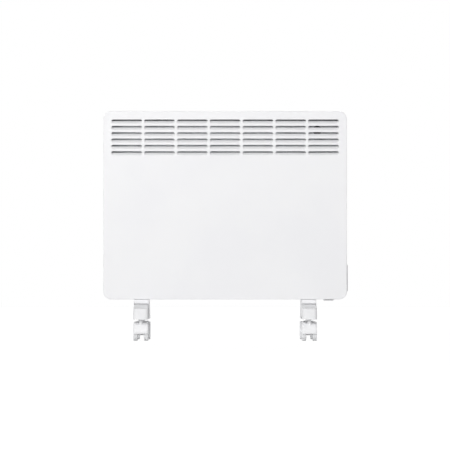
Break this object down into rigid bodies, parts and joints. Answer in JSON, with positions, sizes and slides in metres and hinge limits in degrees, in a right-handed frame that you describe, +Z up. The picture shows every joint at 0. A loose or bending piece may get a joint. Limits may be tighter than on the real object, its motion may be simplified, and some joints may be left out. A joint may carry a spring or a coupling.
{
  "type": "panel convector heater",
  "caption": "White panel convector heater with pressed louvres along the top of its front, side dial, underside rocker and twin-wheel castor feet.",
  "frame": {"origin": "centre of the overall box, at floor level, under the wheels", "axes": "+Z up, +X to the right seen from the front, +Y from the front to the back"},
  "size_m": [0.5846, 0.242, 0.548],
  "materials": {
    "casing_paint": "white powder coat, satin, very fine texture",
    "white_plastic": "white moulded plastic, satin",
    "wheel_plastic": "light grey nylon, slightly scuffed tread",
    "galvanised_steel": "galvanised sheet, faint spangle",
    "cast_aluminium": "dull cast aluminium",
    "plated_steel": "zinc plated",
    "ceramic": "unglazed ceramic",
    "black_plastic": "black phenolic and rubber"
  },
  "bodies": {
    "casing": {"front_casing": "casing_paint", "back_panel": "galvanised_steel", "heating_element": "cast_aluminium", "element_support_left": "galvanised_steel", "element_support_right": "galvanised_steel", "element_bush_left": "ceramic", "element_bush_right": "ceramic", "heat_shield": "galvanised_steel", "cutout_bracket": "galvanised_steel", "overheat_cutout": "black_plastic", "terminal_block": "ceramic", "cable_gland": "black_plastic", "control_bezel": "white_plastic", "thermostat_body": "black_plastic", "switch_frame": "white_plastic", "foot_saddle_left": "casing_paint", "foot_rail_left": "white_plastic", "foot_screw_left_front": "plated_steel", "foot_nut_left_front": "plated_steel", "foot_screw_left_rear": "plated_steel", "foot_nut_left_rear": "plated_steel", "foot_saddle_right": "casing_paint", "foot_rail_right": "white_plastic", "foot_screw_right_front": "plated_steel", "foot_nut_right_front": "plated_steel", "foot_screw_right_rear": "plated_steel", "foot_nut_right_rear": "plated_steel", "castor_bush_front_left": "wheel_plastic", "castor_bush_front_right": "wheel_plastic", "castor_bush_rear_left": "wheel_plastic", "castor_bush_rear_right": "wheel_plastic"},
    "dial": {"thermostat_dial": "white_plastic", "thermostat_shaft": "plated_steel"},
    "rocker": {"switch_rocker": "white_plastic"},
    "castor_front_left": {"castor_hood_front_left": "white_plastic", "castor_stem_front_left": "plated_steel", "castor_axle_front_left": "plated_steel"},
    "wheel_front_left_inner": {"castor_wheel_front_left_inner": "wheel_plastic"},
    "wheel_front_left_outer": {"castor_wheel_front_left_outer": "wheel_plastic"},
    "castor_front_right": {"castor_hood_front_right": "white_plastic", "castor_stem_front_right": "plated_steel", "castor_axle_front_right": "plated_steel"},
    "wheel_front_right_inner": {"castor_wheel_front_right_inner": "wheel_plastic"},
    "wheel_front_right_outer": {"castor_wheel_front_right_outer": "wheel_plastic"},
    "castor_rear_left": {"castor_hood_rear_left": "white_plastic", "castor_stem_rear_left": "plated_steel", "castor_axle_rear_left": "plated_steel"},
    "wheel_rear_left_inner": {"castor_wheel_rear_left_inner": "wheel_plastic"},
    "wheel_rear_left_outer": {"castor_wheel_rear_left_outer": "wheel_plastic"},
    "castor_rear_right": {"castor_hood_rear_right": "white_plastic", "castor_stem_rear_right": "plated_steel", "castor_axle_rear_right": "plated_steel"},
    "wheel_rear_right_inner": {"castor_wheel_rear_right_inner": "wheel_plastic"},
    "wheel_rear_right_outer": {"castor_wheel_rear_right_outer": "wheel_plastic"}
  },
  "joints": [
    {"name": "dial_turn", "type": "hinge", "parent": "casing", "child": "dial", "pos_m": [0.28355, -0.02004, 0.1485], "axis": [-1, 0, 0], "range_deg": [-135, 135]},
    {"name": "rocker_tilt", "type": "hinge", "parent": "casing", "child": "rocker", "pos_m": [0.24675, -0.02104, 0.0977], "axis": [0, 1, 0], "range_deg": [-18, 0]},
    {"name": "swivel_front_left", "type": "hinge", "parent": "casing", "child": "castor_front_left", "pos_m": [-0.20125, -0.09904, 0.049], "axis": [0, 0, 1], "continuous": true},
    {"name": "roll_front_left_inner", "type": "hinge", "parent": "castor_front_left", "child": "wheel_front_left_inner", "pos_m": [-0.20125, -0.08304, 0.02], "axis": [1, 0, 0], "continuous": true},
    {"name": "roll_front_left_outer", "type": "hinge", "parent": "castor_front_left", "child": "wheel_front_left_outer", "pos_m": [-0.20125, -0.08304, 0.02], "axis": [1, 0, 0], "continuous": true},
    {"name": "swivel_front_right", "type": "hinge", "parent": "casing", "child": "castor_front_right", "pos_m": [0.19875, -0.09904, 0.049], "axis": [0, 0, 1], "continuous": true},
    {"name": "roll_front_right_inner", "type": "hinge", "parent": "castor_front_right", "child": "wheel_front_right_inner", "pos_m": [0.19875, -0.08304, 0.02], "axis": [1, 0, 0], "continuous": true},
    {"name": "roll_front_right_outer", "type": "hinge", "parent": "castor_front_right", "child": "wheel_front_right_outer", "pos_m": [0.19875, -0.08304, 0.02], "axis": [1, 0, 0], "continuous": true},
    {"name": "swivel_rear_left", "type": "hinge", "parent": "casing", "child": "castor_rear_left", "pos_m": [-0.20125, 0.08096, 0.049], "axis": [0, 0, 1], "continuous": true},
    {"name": "roll_rear_left_inner", "type": "hinge", "parent": "castor_rear_left", "child": "wheel_rear_left_inner", "pos_m": [-0.20125, 0.09696, 0.02], "axis": [1, 0, 0], "continuous": true},
    {"name": "roll_rear_left_outer", "type": "hinge", "parent": "castor_rear_left", "child": "wheel_rear_left_outer", "pos_m": [-0.20125, 0.09696, 0.02], "axis": [1, 0, 0], "continuous": true},
    {"name": "swivel_rear_right", "type": "hinge", "parent": "casing", "child": "castor_rear_right", "pos_m": [0.19875, 0.08096, 0.049], "axis": [0, 0, 1], "continuous": true},
    {"name": "roll_rear_right_inner", "type": "hinge", "parent": "castor_rear_right", "child": "wheel_rear_right_inner", "pos_m": [0.19875, 0.09696, 0.02], "axis": [1, 0, 0], "continuous": true},
    {"name": "roll_rear_right_outer", "type": "hinge", "parent": "castor_rear_right", "child": "wheel_rear_right_outer", "pos_m": [0.19875, 0.09696, 0.02], "axis": [1, 0, 0], "continuous": true}
  ]
}
